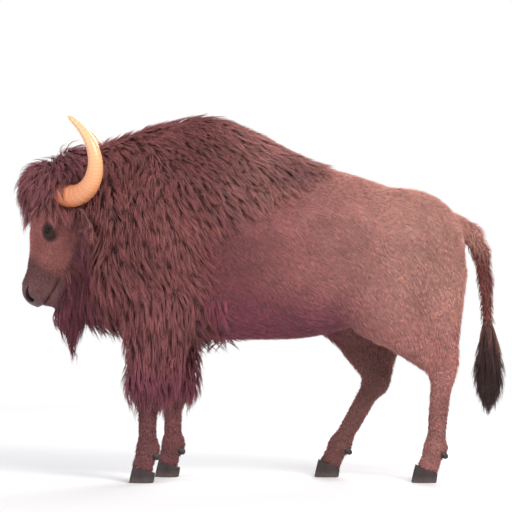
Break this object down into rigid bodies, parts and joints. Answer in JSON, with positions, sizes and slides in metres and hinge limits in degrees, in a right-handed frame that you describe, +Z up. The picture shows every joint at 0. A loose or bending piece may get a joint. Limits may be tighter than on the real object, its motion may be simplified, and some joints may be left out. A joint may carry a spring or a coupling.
{
  "type": "wisent",
  "caption": "Life-size standing wisent bull, walking stance, head hanging, with a dark woolly cape, forward-curving horns and a tufted tail; a still model.",
  "frame": {"origin": "on the floor, under the middle of the box that holds the animal from brow to tail and from flank to flank", "axes": "+X to the tail, so the animal faces -X; +Y to the animal's right; +Z up; the soles stand at Z = 0"},
  "size_m": [2.4712, 0.8051, 1.865],
  "materials": {
    "dark_coat": "long, soft, shaggy dark brown hair of the cape, head and forelegs",
    "beard_coat": "long, straight, near-black brown hair of the chin",
    "light_coat": "short, flat, reddish brown hair of the trunk, rump and hind legs",
    "tuft_coat": "long, coarse, near-black hair of the tail's tuft",
    "horn": "smooth cream horn, amber and ringed towards the base",
    "hoof": "dark hoof horn, satin, with growth ridges",
    "eye": "wet, dark brown"
  },
  "bodies": {
    "root": {"head": "dark_coat", "beard": "beard_coat", "neck": "dark_coat", "forequarters": "dark_coat", "barrel": "light_coat", "rump": "light_coat", "tail": "light_coat", "tail_tuft": "tuft_coat", "horn_left": "horn", "ear_left": "dark_coat", "eye_left": "eye", "horn_right": "horn", "ear_right": "dark_coat", "eye_right": "eye", "foreleg_left_upper": "dark_coat", "foreleg_left_lower": "dark_coat", "foreleg_left_claw_outer": "hoof", "foreleg_left_claw_inner": "hoof", "foreleg_left_dewclaw_outer": "hoof", "foreleg_left_dewclaw_inner": "hoof", "foreleg_right_upper": "dark_coat", "foreleg_right_lower": "dark_coat", "foreleg_right_claw_outer": "hoof", "foreleg_right_claw_inner": "hoof", "foreleg_right_dewclaw_outer": "hoof", "foreleg_right_dewclaw_inner": "hoof", "hindleg_left_upper": "light_coat", "hindleg_left_lower": "light_coat", "hindleg_left_claw_outer": "hoof", "hindleg_left_claw_inner": "hoof", "hindleg_left_dewclaw_outer": "hoof", "hindleg_left_dewclaw_inner": "hoof", "hindleg_right_upper": "light_coat", "hindleg_right_lower": "light_coat", "hindleg_right_claw_outer": "hoof", "hindleg_right_claw_inner": "hoof", "hindleg_right_dewclaw_outer": "hoof", "hindleg_right_dewclaw_inner": "hoof"}
  },
  "joints": []
}
